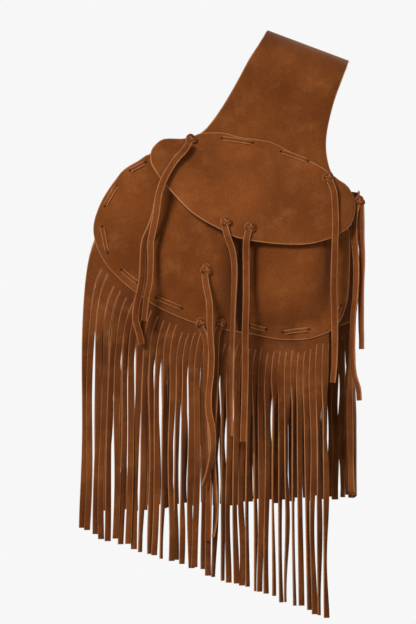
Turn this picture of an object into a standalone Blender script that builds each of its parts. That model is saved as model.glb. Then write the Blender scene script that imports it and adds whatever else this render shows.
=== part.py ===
"""Fringed suede pouch worn over one shoulder.

One sheet of suede goes over the shoulder: its front half is the back wall of the pouch, its
back half hangs behind the wearer and comes round under the arm, where a thong ties it to the
front. A puffed front panel and a fringe are laced to the front half, and a leaf-shaped flap,
laced along its arched top, folds over the mouth of the pouch.

The frame: X to the wearer's left, Y to the back, Z up. The origin is under the sheet, on top
of the shoulder.
"""
import math

import bmesh
import bpy
from mathutils import Vector
from mathutils.bvhtree import BVHTree
from mathutils.geometry import delaunay_2d_cdt

MM = 0.001

# Suede and the air between two pieces that touch
SUEDE = 1.8 * MM
FRINGE_SUEDE = 1.6 * MM
LACE_THICK = 1.3 * MM
LACE_WIDE = 4.6 * MM
LACE_SLACK = 0.15 * MM
CLEAR = 0.3 * MM

# The shoulder and the chest that the sheet is shaped to
RIDGE_FALL = 0.375
SHOULDER_RADIUS = 55 * MM
SHOULDER_TURN = math.radians(60)
CHEST_RADIUS = 300 * MM
CHEST_TURN = 0.09
CHEST_MIDDLE = -70 * MM
STRAIGHT_LEFT = -150 * MM
STRAIGHT_RIGHT = 28 * MM
LEFT_ROUND = 120 * MM
RIGHT_ROUND = 30 * MM

# The back half's turn forward under the arm
SIDE_START = 3 * MM
SIDE_RADIUS = 50 * MM
SIDE_LEAN = 11 * MM
LEAN_TOP = -165 * MM
LEAN_DEPTH = 195 * MM

# The pouch
HEM = 9 * MM
LOBE_DEPTH = 18 * MM
SMALL_LOBE_DEPTH = 6 * MM
MOUTH_DEPTH = 7.5 * MM
RISE = 52 * MM
FLAT_HEM = 14 * MM

# The flap
FOLD_LEFT = (-124 * MM, -96.5 * MM)
FOLD_RIGHT = (23 * MM, -134.5 * MM)
FLAP_LEAN = math.radians(11)
FLAP_STEP = 11 * MM
FLAP_STEP_LENGTH = 55 * MM
TIP_ROUND = 80 * MM

# The fringe
STRIPS = 38
SLIT = 0.7 * MM
FRONT_LEFT_END = (-240 * MM, -508 * MM)
FRONT_RIGHT_END = (22.5 * MM, -602 * MM)
BACK_LEFT_END = (-228 * MM, -492 * MM)
BACK_RIGHT_END = (178 * MM, -470 * MM)

# The thongs
THONG = 4 * MM
KNOT = 4.3 * MM
KNOT_SQUASH = 0.8

# Colours of the suede, and of thongs
SUEDE_COLOUR = (0.17, 0.055, 0.016, 1)
FRINGE_COLOUR = (0.15, 0.047, 0.013, 1)
THONG_COLOUR = (0.20, 0.068, 0.021, 1)

# Outlines seen from the front, in millimetres, x and z
FRONT_LEFT_SIDE = [(-43.5, 16.4), (-54, -1), (-62.5, -14), (-71, -30), (-80, -46.5), (-91.3, -65.5),
                   (-101, -79.5), (-110, -90), (-119, -96.5), (-133, -101), (-148, -104),
                   (-163, -112), (-177.5, -122)]
POUCH_EDGE = [(-177.5, -122), (-196, -135), (-214.7, -161.7), (-223, -185), (-223, -205),
              (-214, -227), (-196, -248), (-167, -271), (-138, -286), (-105, -297),
              (-63, -304), (-30, -310), (0, -309), (21, -302)]
FRONT_RIGHT_SIDE = [(21, -302), (34, -288), (40, -268), (43, -236), (43, -205), (46, -186),
                    (48, -172), (47, -160), (42, -150), (35, -144), (27.5, -139.5),
                    (22.5, -131.5), (19.5, -120), (18.2, -108), (18.7, -96), (20.6, -84),
                    (23.6, -71), (26.8, -59.5), (30.4, -49), (34.2, -39), (38.2, -28.5),
                    (43, -16)]
BACK_NECK_SIDE = [(-43.5, 16.4), (-52, -1), (-59, -14), (-67, -30), (-76, -47), (-85, -64),
                  (-94, -79), (-103, -91), (-115, -99.5), (-133, -106), (-163, -116),
                  (-188, -134), (-207, -161), (-215, -185), (-214, -205), (-205, -227),
                  (-187, -248), (-158, -269), (-129, -284), (-96, -295), (-54, -301),
                  (-21, -303), (20, -299)]
BACK_ARM_SIDE = [(20, -299), (70, -292), (130, -288), (170, -284), (179, -276), (181, -240),
                 (181, -180), (178, -162), (167, -154), (120, -153), (70, -154), (40, -150),
                 (26, -136), (19.5, -120), (18.2, -108), (18.7, -96), (20.6, -84),
                 (23.6, -71), (26.8, -59.5), (30.4, -49), (34.2, -39), (38.2, -28.5),
                 (43, -16)]
POUCH_MOUTH = [(21, -302), (32, -290), (39, -268), (41, -236), (41, -200), (36, -184),
               (20, -172), (-48, -152), (-118, -133), (-146, -132), (-156, -124),
               (-166, -115), (-177.5, -122)]
FLAP_EDGE = [(-124, -96.5), (-133, -98), (-148, -98), (-156, -100), (-165, -109),
                  (-168, -120), (-165, -131), (-152, -149), (-129, -174), (-111, -187),
                  (-94, -196), (-78, -204), (-58, -208), (-30, -211), (-4, -211), (17, -206),
                  (33, -198), (43, -190), (48, -177), (49, -165), (45, -153), (37, -145),
                  (23, -134.5)]
FLAP_ARCH = [(-124, -96.5), (-111, -93), (-90, -93), (-75, -97), (-54, -100), (-39, -103), (-19, -113),
             (0, -122), (14, -129), (23, -134.5)]
FRONT_SLITS = [(-223, -199), (-219, -228), (-210, -242), (-193, -263), (-160, -282),
               (-138, -297), (-118, -304), (-54, -319), (-35, -323), (-8, -320), (21, -312)]
BACK_SLITS = [(-220, -190), (-212, -222), (-196, -246), (-160, -274), (-96, -302),
              (-21, -311), (70, -302), (178, -292)]
BACK_BAND_TOP = [(-220, -168), (-206, -196), (-186, -222), (-155, -248), (-92, -275),
                 (-21, -286), (70, -278), (178, -267)]

# The ends of each visible run of lacing, in millimetres, x and z
EDGE_RUNS = [((-185, -132), (-171, -124)), ((-200, -148), (-212, -169)),
             ((-215, -192), (-209, -218)), ((-195, -237), (-179, -250)),
             ((-160, -266), (-134, -277)), ((-62, -295), (-46, -299)),
             ((-27, -302), (-1, -299)), ((28.5, -284), (32, -275))]
FLAP_RUNS = [((-91, -99), (-60, -103.5)), ((-29, -113), (-2, -122.5))]
BACK_RUNS = [((-197, -213), (-185, -232)), ((-172, -250), (-150, -265)),
             ((-128, -276), (-102, -286)), ((-76, -291), (-48, -295)),
             ((-20, -297), (10, -294)), ((40, -289), (70, -286)), ((100, -283), (130, -280)),
             ((148, -278), (169, -276))]

# The knots, in millimetres: where the knot sits, x and z, seen from the front
FLAP_LEFT_KNOT = (-125, -102)
FLAP_RIGHT_KNOT = (20, -139.2)
TIE_KNOTS = [(-90, -188), (-64, -193)]
POUCH_KNOT = (-110, -236)
EDGE_KNOTS = [(-114, -292), (-94, -293)]

# The hanging thongs' routes, in millimetres, x, y and z
FLAP_THONGS = {
    "flap_left_long_thong": [(-125.5, -104.5, -102.3), (-131, -111.5, -111), (-141, -118, -122),
                             (-152, -126, -141), (-158, -128, -159), (-160, -127, -175),
                             (-163, -126, -191), (-166, -125, -207), (-166, -124, -224),
                             (-167, -123, -248), (-170, -122, -264), (-173, -121, -289)],
    "flap_left_short_thong": [(-127.8, -101, -104.6), (-133, -106.5, -111),
                              (-141.5, -113.5, -122), (-152.5, -121.3, -141),
                              (-158, -123, -159), (-162, -122, -178), (-167, -120, -192),
                              (-172, -118, -203), (-174, -116, -215), (-175, -115, -239),
                              (-177, -114, -255), (-181, -112, -272), (-182, -111, -288),
                              (-178, -110, -303), (-176, -110, -314)],
    "flap_right_thong": [(21.9, -85.9, -141.9), (26, -89.5, -153), (27.5, -95, -170),
                         (28, -99.5, -186), (27.5, -102, -200), (27, -102.5, -214),
                         (26, -102, -252), (27, -101, -289), (27, -100.5, -330),
                         (25, -100, -354)],
    "tie_thong_1": [(-88.5, -122, -189.9), (-84.5, -124, -204), (-81, -124, -213),
                    (-79, -123, -224), (-78, -122, -240), (-79, -121, -268),
                    (-80, -120, -300), (-81, -119, -350), (-82, -118, -410)],
    "tie_thong_2": [(-63.4, -118.5, -194.3), (-66, -120, -208), (-66, -119.5, -240),
                    (-66, -118.5, -268), (-67, -117.5, -300), (-67, -116.5, -350),
                    (-69, -115.5, -416)],
}
POUCH_THONGS = {
    "pouch_thong": [(-109.4, -119, -240), (-108, -119.5, -252), (-105, -119, -267),
                    (-104, -118, -281), (-104, -117, -296), (-103, -116, -311),
                    (-102, -115, -327), (-103, -114.5, -348), (-105, -114, -365),
                    (-105, -113.5, -384), (-102, -113, -402), (-101, -112.5, -423),
                    (-105, -112, -445), (-111, -112, -463)],
    "edge_thong_1": [(-113.3, -102, -296), (-109, -103, -306), (-107.5, -103, -320),
                     (-108, -103, -352), (-107, -103, -404), (-105, -102.5, -457),
                     (-106, -102, -520)],
    "edge_thong_2": [(-94.3, -100.9, -295.9), (-97, -103, -306), (-98, -103.5, -329),
                     (-99, -103.5, -373), (-101, -103.2, -425), (-98, -102.5, -470),
                     (-97, -102.5, -494), (-100.5, -102, -516)],
}

# The side tie: its knot's place on the back half's edge, x and z, and its ends' routes from there
SIDE_TIE = (178.85, -164)
SIDE_THONGS = {
    "side_thong_1": [(-2.3, -0.8, -4.2), (-5, -3, -17), (-5, -4.5, -40), (-3, -5.5, -71),
                     (-4, -5, -101), (-6, -5, -119), (-7, -4.5, -145), (-7, -4.5, -166),
                     (-5, -4, -184), (-1, -3.5, -197), (0, -3.5, -210)],
    "side_thong_2": [(2.1, -1, -4.2), (2.5, -1.5, -20), (2.5, -1, -40), (3, -0.5, -63),
                     (2, -0.5, -92), (2, 0, -127), (2.5, 0.5, -145), (2.5, 0.5, -156)],
}


# Curves and outlines

def smooth(t):
    """0 to 1 with level ends."""
    t = min(1.0, max(0.0, t))
    return t * t * (3 - 2 * t)


def through(points, step, closed=False):
    """Points about step apart on a smooth curve through the given ones."""
    count = len(points)
    found = []
    for i in range(count if closed else count - 1):
        if closed:
            a, b, c, d = (Vector(points[(i + k) % count]) for k in (-1, 0, 1, 2))
        else:
            b, c = Vector(points[i]), Vector(points[i + 1])
            a = Vector(points[i - 1]) if i else b
            d = Vector(points[i + 2]) if i + 2 < count else c
        parts = max(1, round((c - b).length / step))
        for k in range(parts):
            t = k / parts
            found.append(0.5 * (2 * b + (c - a) * t + (2 * a - 5 * b + 4 * c - d) * t * t
                                + (3 * b - a - 3 * c + d) * t ** 3))
    return found if closed else found + [Vector(points[-1])]


def in_metres(points):
    return [tuple(value * MM for value in point) for point in points]


def height_on(line, x):
    """The height of a line of (x, z) points at x."""
    if x <= line[0][0]:
        return line[0][1]
    for (x0, z0), (x1, z1) in zip(line, line[1:]):
        if x <= x1:
            return z0 + (z1 - z0) * (x - x0) / max(x1 - x0, 1e-6)
    return line[-1][1]


def inside(point, loop):
    x, y = point
    found = False
    for a, b in zip(loop, loop[1:] + loop[:1]):
        if (a[1] > y) != (b[1] > y) and x < a[0] + (y - a[1]) * (b[0] - a[0]) / (b[1] - a[1]):
            found = not found
    return found


# The surface that the big sheet follows

SHOULDER_LENGTH = SHOULDER_RADIUS * SHOULDER_TURN
CHEST_LENGTH = CHEST_RADIUS * (math.pi / 2 - SHOULDER_TURN)
SHOULDER_DROP = SHOULDER_RADIUS * (1 - math.cos(SHOULDER_TURN))
CHEST_DROP = CHEST_RADIUS * math.cos(SHOULDER_TURN)


def profile(along):
    """How far forward and down the sheet is after that length from the ridge."""
    turned = min(along, SHOULDER_LENGTH) / SHOULDER_RADIUS
    reach = SHOULDER_RADIUS * math.sin(turned)
    drop = SHOULDER_RADIUS * (1 - math.cos(turned))
    if along > SHOULDER_LENGTH:
        more = min(along - SHOULDER_LENGTH, CHEST_LENGTH) / CHEST_RADIUS
        reach += CHEST_RADIUS * (math.sin(SHOULDER_TURN + more) - math.sin(SHOULDER_TURN))
        drop += CHEST_RADIUS * (math.cos(SHOULDER_TURN) - math.cos(SHOULDER_TURN + more))
    return reach, drop + max(0.0, along - SHOULDER_LENGTH - CHEST_LENGTH)


def length_at(drop):
    """The length from the ridge to where the sheet has dropped that far."""
    if drop <= SHOULDER_DROP:
        return SHOULDER_RADIUS * math.acos(1 - max(drop, 0.0) / SHOULDER_RADIUS)
    if drop <= SHOULDER_DROP + CHEST_DROP:
        turned = math.acos(math.cos(SHOULDER_TURN) - (drop - SHOULDER_DROP) / CHEST_RADIUS)
        return SHOULDER_LENGTH + CHEST_RADIUS * (turned - SHOULDER_TURN)
    return SHOULDER_LENGTH + CHEST_LENGTH + drop - SHOULDER_DROP - CHEST_DROP


def chest_plan(x):
    """How far back the front half lies at x, besides its profile."""
    back = CHEST_TURN * (x - CHEST_MIDDLE)
    back += max(0.0, x - STRAIGHT_RIGHT) ** 2 / (2 * RIGHT_ROUND)
    return back + max(0.0, STRAIGHT_LEFT - x) ** 2 / (2 * LEFT_ROUND)


def side_plan(x):
    """The back half in plan: it turns forward under the arm past SIDE_START."""
    past = max(0.0, x - SIDE_START)
    turned = min(past / SIDE_RADIUS, math.pi / 2)
    forward = SIDE_RADIUS * (1 - math.cos(turned))
    forward += max(0.0, past - SIDE_RADIUS * math.pi / 2)
    return min(x, SIDE_START) + SIDE_RADIUS * math.sin(turned), -forward


def sheet_point(x, along):
    """The middle of the big sheet: along is positive down the front, negative down the back."""
    reach, drop = profile(abs(along))
    share = smooth(drop / (SHOULDER_DROP * 3))
    level = SUEDE / 2 - RIDGE_FALL * x - drop
    if along >= 0:
        return Vector((x, share * chest_plan(x) - reach, level))
    px, py = side_plan(x)
    turned = smooth((x - SIDE_START) / (SIDE_RADIUS * math.pi / 2))
    lean = SIDE_LEAN * turned * smooth((LEAN_TOP - level) / LEAN_DEPTH)
    return Vector((px - lean, reach + py, level))


def normal_of(surface, u, v, step=0.5 * MM):
    across = surface(u + step, v) - surface(u - step, v)
    down = surface(u, v + step) - surface(u, v - step)
    return across.cross(down).normalized()


def at_height(x, z, front=True):
    """The sheet's own coordinates of the place at x and z."""
    along = length_at(-RIDGE_FALL * x - z)
    return (x, along) if front else (x, -along)


def outward(surface, u, v, front=True):
    """The surface's normal on the side away from the wearer."""
    normal = normal_of(surface, u, v)
    if normal.dot(Vector((0, -1, 0) if front else (1, 1, 0))) < 0:
        normal.negate()
    return normal


def off_sheet(x, z, out, front=True):
    """The place at x and z that lies out from the middle of the big sheet."""
    u, v = at_height(x, z, front)
    return sheet_point(u, v) + outward(sheet_point, u, v, front) * out


# The pouch's front panel stands off the sheet by its puff

EDGE = through(in_metres(POUCH_EDGE), 4 * MM)
BOTTOM = sorted((point.x, point.y) for point in EDGE if point.y < -0.2 and point.x > -0.223)
LOBES = [(-180 * MM, 19 * MM, SMALL_LOBE_DEPTH), (-120 * MM, 45.5 * MM, LOBE_DEPTH),
         (-24 * MM, 47.5 * MM, LOBE_DEPTH)]


def crease_shift(z):
    """The crease left of the pouch's mouth leans to the right at its top."""
    return 18 * MM * smooth((z + 225 * MM) / (75 * MM))


def pouch_puff(x, z):
    """How far the front panel's inner face stands off the fringe's band."""
    above = z - height_on(BOTTOM, x)
    rise = min(1.0, max(0.0, (above - FLAT_HEM) / RISE))
    rise = rise * (2 - rise)
    mouth = smooth((above - 75 * MM) / (60 * MM))
    puff = 0.0
    for number, (middle, half, depth) in enumerate(LOBES):
        left, right = middle - half, middle + half
        if number == 0:
            right += crease_shift(z)
        if number == 1:
            left += crease_shift(z)
        share = (2 * x - left - right) / (right - left)
        full = depth if number == 0 else depth + (MOUTH_DEPTH - depth) * mouth
        if abs(share) < 1:
            puff += full * (1 - share ** 4)
    return puff * rise


def pouch_surface(x, z):
    """The middle of the pouch's front panel."""
    out = SUEDE + FRINGE_SUEDE + 2 * CLEAR + pouch_puff(x, z)
    return off_sheet(x, z, out)


# The flap hangs from its fold line in a plane of its own

def fold_end(place):
    x, z = place
    return off_sheet(x, z, 1.5 * SUEDE + CLEAR)


FOLD_A, FOLD_B = fold_end(FOLD_LEFT), fold_end(FOLD_RIGHT)
FOLD = (FOLD_B - FOLD_A).normalized()
LEANING = Vector((0, -math.sin(FLAP_LEAN), -math.cos(FLAP_LEAN)))
FLAP_DOWN = (LEANING - FOLD * LEANING.dot(FOLD)).normalized()
FLAP_OUT = FLAP_DOWN.cross(FOLD).normalized()
if FLAP_OUT.y > 0:
    FLAP_OUT.negate()


def on_flap(x, z):
    """The flap's own coordinates, along and below its fold, of the place seen at x and z."""
    dx, dz = x - FOLD_A.x, z - FOLD_A.z
    size = FOLD.x * FLAP_DOWN.z - FOLD.z * FLAP_DOWN.x
    return (dx * FLAP_DOWN.z - dz * FLAP_DOWN.x) / size, (FOLD.x * dz - FOLD.z * dx) / size


def flap_surface(x, z, out=-SUEDE / 2):
    """The flap's surface; its outer face has out=0 and starts on the fold line."""
    along, below = on_flap(x, z)
    step = FLAP_STEP * smooth(below / FLAP_STEP_LENGTH)
    past = max(0.0, along - (FOLD_B - FOLD_A).length)
    step -= past * past / (2 * TIP_ROUND)
    return FOLD_A + FOLD * along + FLAP_DOWN * below + FLAP_OUT * (step + out)


def margin_surface(x, z):
    """The laced upper margin of the flap lies on the sheet."""
    return off_sheet(x, z, SUEDE + CLEAR)


# Builders of closed solids

def finish(name, mesh, material, smooth_angle=35):
    mesh.shade_smooth()
    mesh.set_sharp_from_angle(angle=math.radians(smooth_angle))
    mesh.materials.append(material)
    made = bpy.data.objects.new(name, mesh)
    bpy.context.collection.objects.link(made)
    return made


def solid(name, points, faces, material):
    mesh = bpy.data.meshes.new(name)
    mesh.from_pydata([tuple(p) for p in points], [], faces)
    work = bmesh.new()
    work.from_mesh(mesh)
    bmesh.ops.recalc_face_normals(work, faces=work.faces)
    if work.calc_volume(signed=True) < 0:
        bmesh.ops.reverse_faces(work, faces=work.faces)
    work.to_mesh(mesh)
    work.free()
    return finish(name, mesh, material)


def thicken(name, flat, triangles, surface, thickness, material):
    """A closed sheet: the flat triangles on both faces, and a wall round the rim."""
    tops, unders = [], []
    for u, v in flat:
        middle, normal = surface(u, v), normal_of(surface, u, v)
        tops.append(middle + normal * thickness / 2)
        unders.append(middle - normal * thickness / 2)
    count = len(flat)
    faces = [tuple(t) for t in triangles]
    faces += [tuple(count + i for i in reversed(t)) for t in triangles]
    edges = {(a, b) for t in triangles for a, b in zip(t, t[1:] + t[:1])}
    for a, b in sorted(edges):
        if (b, a) not in edges:
            faces.append((b, a, count + a, count + b))
    return solid(name, tops + unders, faces, material)


def sheet(name, outline, spacing, surface, thickness, material):
    """A sheet of suede cut to the outline, a loop of (u, v), and shaped by the surface."""
    loop = [tuple(p) for p in outline]
    lows = [min(p[k] for p in loop) for k in (0, 1)]
    highs = [max(p[k] for p in loop) for k in (0, 1)]
    inner = []
    rows = int((highs[1] - lows[1]) / (spacing * 0.87)) + 1
    for row in range(rows):
        v = lows[1] + (row + 0.5) * spacing * 0.87
        u = lows[0] + (0.25 + 0.5 * (row % 2)) * spacing
        while u < highs[0]:
            near = min(math.dist((u, v), p) for p in loop)
            if near > 0.6 * spacing and inside((u, v), loop):
                inner.append((u, v))
            u += spacing
    points = [Vector(p) for p in loop + inner]
    rim = [(i, (i + 1) % len(loop)) for i in range(len(loop))]
    found = delaunay_2d_cdt(points, rim, [], 1, 1e-7)
    flat = [tuple(p) for p in found[0]]
    triangles = [tuple(f) for f in found[2]]
    return thicken(name, flat, triangles, surface, thickness, material)


def bar(name, line, across, up, material):
    """A flat thong along a line of (middle, outward normal) pairs."""
    points, faces = [], []
    for i, (middle, normal) in enumerate(line):
        ahead = line[min(i + 1, len(line) - 1)][0] - line[max(i - 1, 0)][0]
        side = ahead.cross(normal).normalized() * across / 2
        lift = normal * up / 2
        points += [middle - side - lift, middle + side - lift, middle + side + lift,
                   middle - side + lift]
        if i:
            a, b = 4 * (i - 1), 4 * i
            faces += [(a + k, a + (k + 1) % 4, b + (k + 1) % 4, b + k) for k in range(4)]
    last = 4 * (len(line) - 1)
    faces += [(3, 2, 1, 0), (last, last + 1, last + 2, last + 3)]
    return solid(name, points, faces, material)


def knot(name, seat, out, material):
    """An overhand knot pulled tight on its seat: a squashed ball with two wraps."""
    place = seat + out * (CLEAR + KNOT * KNOT_SQUASH)
    made = bmesh.new()
    bmesh.ops.create_uvsphere(made, u_segments=12, v_segments=7, radius=KNOT)
    turn = Vector((0, 0, 1)).rotation_difference(out).to_matrix()
    for vert in made.verts:
        angle = math.atan2(vert.co.y, vert.co.x)
        wrap = 1 + 0.09 * math.cos(2 * angle + 500 * vert.co.z)
        vert.co = Vector((vert.co.x * wrap, vert.co.y * wrap, vert.co.z * KNOT_SQUASH))
        vert.co = turn @ vert.co + place
    mesh = bpy.data.meshes.new(name)
    made.to_mesh(mesh)
    made.free()
    return finish(name, mesh, material, 60)


def thong(name, route, material):
    """A hanging thong: a round tube on a smooth curve through its route."""
    line = through(route, THONG * 2.5)
    curve = bpy.data.curves.new(name, "CURVE")
    curve.dimensions = "3D"
    curve.bevel_depth = THONG / 2
    curve.bevel_resolution = 2
    curve.use_fill_caps = True
    curve.materials.append(material)
    spline = curve.splines.new("POLY")
    spline.points.add(len(line) - 1)
    for point, place in zip(spline.points, line):
        point.co = (*place, 1)
    made = bpy.data.objects.new(name, curve)
    bpy.context.collection.objects.link(made)
    return made


def fan(row):
    """How far a strip has moved sideways from its head to its foot."""
    return 0.56 * (1 - math.exp(-row / 0.09)) + 0.44 * row


def comb(name, slits, ends, top, place, material):
    """A fringe: a band whose lower part is cut into strips. place(x, z, out) is on its middle."""
    (x0, z0), (x1, z1) = ends
    start, stop = slits[0][0], slits[-1][0]
    columns = []
    for i in range(STRIPS):
        for side in (0, 1):
            share = (i + side) / STRIPS
            gap = SLIT / 2 * (1 if side == 0 else -1)
            columns.append((start + (stop - start) * share + gap,
                            x0 + (x1 - x0) * share + gap,
                            z0 + (z1 - z0) * (i + 0.5) / STRIPS, i))
    rows = [0, 0.12, 0.35, 0.65, 1]
    points, quads = [], []
    for side_out in (-0.5, 0.5):
        for number, (head, foot, end, strip) in enumerate(columns):
            edge = number % 2 - 0.5
            slit = height_on(slits, head)
            points.append(place(head, top(head), side_out * FRINGE_SUEDE))
            for row in rows:
                x = head + (foot - head) * fan(row)
                swing = math.sin(strip * 2.4) * row
                twist = 1.6 * math.sin(strip * 1.7 + 3 * row) * min(1, 3 * row) * edge
                wave = 2.2 * math.sin(strip * 2.1 + 5 * row) * min(1, 3 * row)
                out = side_out * FRINGE_SUEDE + (twist + wave) * MM
                z = slit + (end + 3 * MM * swing - slit) * row
                points.append(place(x, z, out))
    deep = len(rows) + 1
    wide = len(columns)
    half = deep * wide
    for c in range(wide - 1):
        a, b = c * deep, (c + 1) * deep
        quads.append((a, b, b + 1, a + 1))
        if c % 2 == 0:
            quads += [(a + r, b + r, b + r + 1, a + r + 1) for r in range(1, deep - 1)]
    faces = quads + [tuple(half + i for i in reversed(q)) for q in quads]
    edges = {(a, b) for q in quads for a, b in zip(q, q[1:] + q[:1])}
    faces += [(b, a, half + a, half + b) for a, b in sorted(edges) if (b, a) not in edges]
    return solid(name, points, faces, material)


# The pieces

def material(name, colour):
    made = bpy.data.materials.new(name)
    made.use_nodes = True
    shader = made.node_tree.nodes["Principled BSDF"]
    shader.inputs["Base Color"].default_value = colour
    shader.inputs["Roughness"].default_value = 0.95
    shader.inputs["Metallic"].default_value = 0.0
    return made


def sheet_corners(step):
    """The big sheet's outline, cut flat: round its front half, then round its back half."""
    runs = [FRONT_LEFT_SIDE, POUCH_EDGE, FRONT_RIGHT_SIDE, BACK_ARM_SIDE[::-1],
            BACK_NECK_SIDE[::-1]]
    corners = []
    for number, run in enumerate(runs):
        places = through(in_metres(run), step)[:-1]
        corners += [at_height(p.x, p.y, number < 3) for p in places]
    return corners


def shoulder_sheet(suede):
    """The big sheet: the front half is at positive lengths, the back half at negative."""
    outline = through(sheet_corners(9 * MM), 11 * MM, closed=True)
    return sheet("shoulder_sheet", outline, 15 * MM, sheet_point, SUEDE, suede)


def pouch_front(suede):
    edge = through(in_metres(POUCH_EDGE), 11 * MM)[:-1]
    mouth = through(in_metres(POUCH_MOUTH), 11 * MM)[:-1]
    return sheet("pouch_front", edge + mouth, 11 * MM, pouch_surface, SUEDE, suede)


def along_fold(lift):
    """Points on the fold line from right to left, raised by lift."""
    ends = [(x, z + lift) for x, z in (FOLD_RIGHT, FOLD_LEFT)]
    return through(ends, 11 * MM)


def flap_leaf(suede):
    """The part of the flap that swings."""
    rim = through(in_metres(FLAP_EDGE), 11 * MM)
    return sheet("flap_leaf", rim[:-1] + along_fold(0)[:-1], 16 * MM, flap_surface, SUEDE, suede)


def flap_margin(suede):
    """The laced upper margin of the flap, above its fold."""
    arch = through(in_metres(FLAP_ARCH), 9 * MM)[1:-1]
    rim = arch + along_fold(2 * CLEAR)
    return sheet("flap_margin", rim, 11 * MM, margin_surface, SUEDE, suede)


def front_fringe(suede):
    slits = [tuple(p) for p in through(in_metres(FRONT_SLITS), 8 * MM)]
    edge = sorted((p.x, p.y) for p in through(in_metres(POUCH_EDGE[3:]), 4 * MM))

    def place(x, z, out):
        return off_sheet(x, z, SUEDE / 2 + CLEAR + FRINGE_SUEDE / 2 + out)

    def top(x):
        return max(height_on(edge, x + 2 * MM) + HEM, height_on(slits, x) + HEM / 2)

    return comb("front_fringe", slits, (FRONT_LEFT_END, FRONT_RIGHT_END), top, place, suede)


def back_band(x, z):
    """The middle of the back fringe's band, which lies on the big sheet."""
    return off_sheet(x, z, SUEDE / 2 + CLEAR + FRINGE_SUEDE / 2, False)


def back_fringe(suede):
    slits = [tuple(p) for p in through(in_metres(BACK_SLITS), 8 * MM)]
    tops = [tuple(p) for p in through(in_metres(BACK_BAND_TOP), 8 * MM)]

    def place(x, z, out):
        return off_sheet(x, z, SUEDE / 2 + CLEAR + FRINGE_SUEDE / 2 + out, False)

    def top(x):
        return height_on(tops, x)

    return comb("back_fringe", slits, (BACK_LEFT_END, BACK_RIGHT_END), top, place, suede)


def faces_of(piece):
    mesh = piece.data
    return BVHTree.FromPolygons([v.co for v in mesh.vertices],
                                [tuple(p.vertices) for p in mesh.polygons])


def on_piece(tree, place, out, spread=Vector()):
    """The place moved along out until it lies on the outermost face within its spread."""
    far = 20 * MM
    rises = []
    for share in (-1, -0.5, 0, 0.5, 1):
        start = place + spread * share + out * far
        hit = tree.ray_cast(start, -out)
        if hit[0] is not None:
            rises.append(far - hit[3])
    return place + out * max(rises)


def lacing(name, runs, surface, front, carrier, thong_suede):
    """The visible runs of a running stitch, each from hole to hole on its carrier."""
    tree = faces_of(carrier)
    for number, run in enumerate(runs, 1):
        a, b = (Vector(p) for p in in_metres(run))
        line = []
        for k in range(5):
            x, z = a.lerp(b, k / 4)
            out = outward(surface, x, z, front)
            side = (surface(*b) - surface(*a)).normalized().cross(out) * LACE_WIDE / 2
            seat = on_piece(tree, surface(x, z), out, side)
            line.append((seat + out * (CLEAR + LACE_SLACK + LACE_THICK / 2), out))
        bar(f"{name}_{number}", line, LACE_WIDE, LACE_THICK, thong_suede)


def knots(pieces, lace):
    """The knots on the flap, which swing with it, and the others."""
    made = []
    seats = {"flap_left_knot": (FLAP_LEFT_KNOT, flap_surface, "flap_leaf"),
             "flap_right_knot": (FLAP_RIGHT_KNOT, flap_surface, "flap_leaf"),
             "tie_knot_1": (TIE_KNOTS[0], flap_surface, "flap_leaf"),
             "tie_knot_2": (TIE_KNOTS[1], flap_surface, "flap_leaf"),
             "pouch_knot": (POUCH_KNOT, pouch_surface, "pouch_front"),
             "edge_knot_1": (EDGE_KNOTS[0], pouch_surface, "pouch_front"),
             "edge_knot_2": (EDGE_KNOTS[1], pouch_surface, "pouch_front")}
    for name, (place, surface, carrier) in seats.items():
        x, z = (value * MM for value in place)
        out = outward(surface, x, z)
        seat = on_piece(faces_of(pieces[carrier]), surface(x, z), out)
        made.append(knot(name, seat, out, lace))
    knot("side_knot", side_seat(), Vector((0, -1, 0)), lace)
    return made[:4]


def side_seat():
    """The place on the edge of the back half, under the arm, where the side tie sits."""
    return sheet_point(*at_height(*(value * MM for value in SIDE_TIE), False))


def hinge(swinging):
    """An empty on the flap's fold line, which carries what swings with the flap."""
    axis = bpy.data.objects.new("flap_hinge", None)
    axis.location = (FOLD_A + FOLD_B) / 2
    axis.rotation_mode = "QUATERNION"
    axis.rotation_quaternion = FOLD.to_track_quat("X", "Z")
    bpy.context.collection.objects.link(axis)
    for piece in swinging:
        piece.parent = axis
        piece.matrix_parent_inverse = axis.matrix_basis.inverted()


def thongs(routes, lace, start=Vector()):
    made = []
    for name, route in routes.items():
        made.append(thong(name, [start + Vector(p) for p in in_metres(route)], lace))
    return made


def main():
    for old in list(bpy.data.objects):
        bpy.data.objects.remove(old, do_unlink=True)
    suede = material("suede", SUEDE_COLOUR)
    fringe = material("fringe_suede", FRINGE_COLOUR)
    lace = material("thong_suede", THONG_COLOUR)
    made = [shoulder_sheet(suede), pouch_front(suede), flap_leaf(suede), flap_margin(suede),
            front_fringe(fringe), back_fringe(fringe)]
    pieces = {piece.name: piece for piece in made}
    lacing("edge_lacing", EDGE_RUNS, pouch_surface, True, pieces["pouch_front"], lace)
    lacing("flap_lacing", FLAP_RUNS, margin_surface, True, pieces["flap_margin"], lace)
    lacing("back_lacing", BACK_RUNS, back_band, False, pieces["back_fringe"], lace)
    thongs(POUCH_THONGS, lace)
    thongs(SIDE_THONGS, lace, side_seat() - Vector((0, CLEAR + KNOT * KNOT_SQUASH, 0)))
    hinge([pieces["flap_leaf"]] + knots(pieces, lace) + thongs(FLAP_THONGS, lace))


main()
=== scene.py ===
import math
import random

import bmesh
import bpy
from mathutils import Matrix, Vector, noise
from mathutils.geometry import delaunay_2d_cdt


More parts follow.
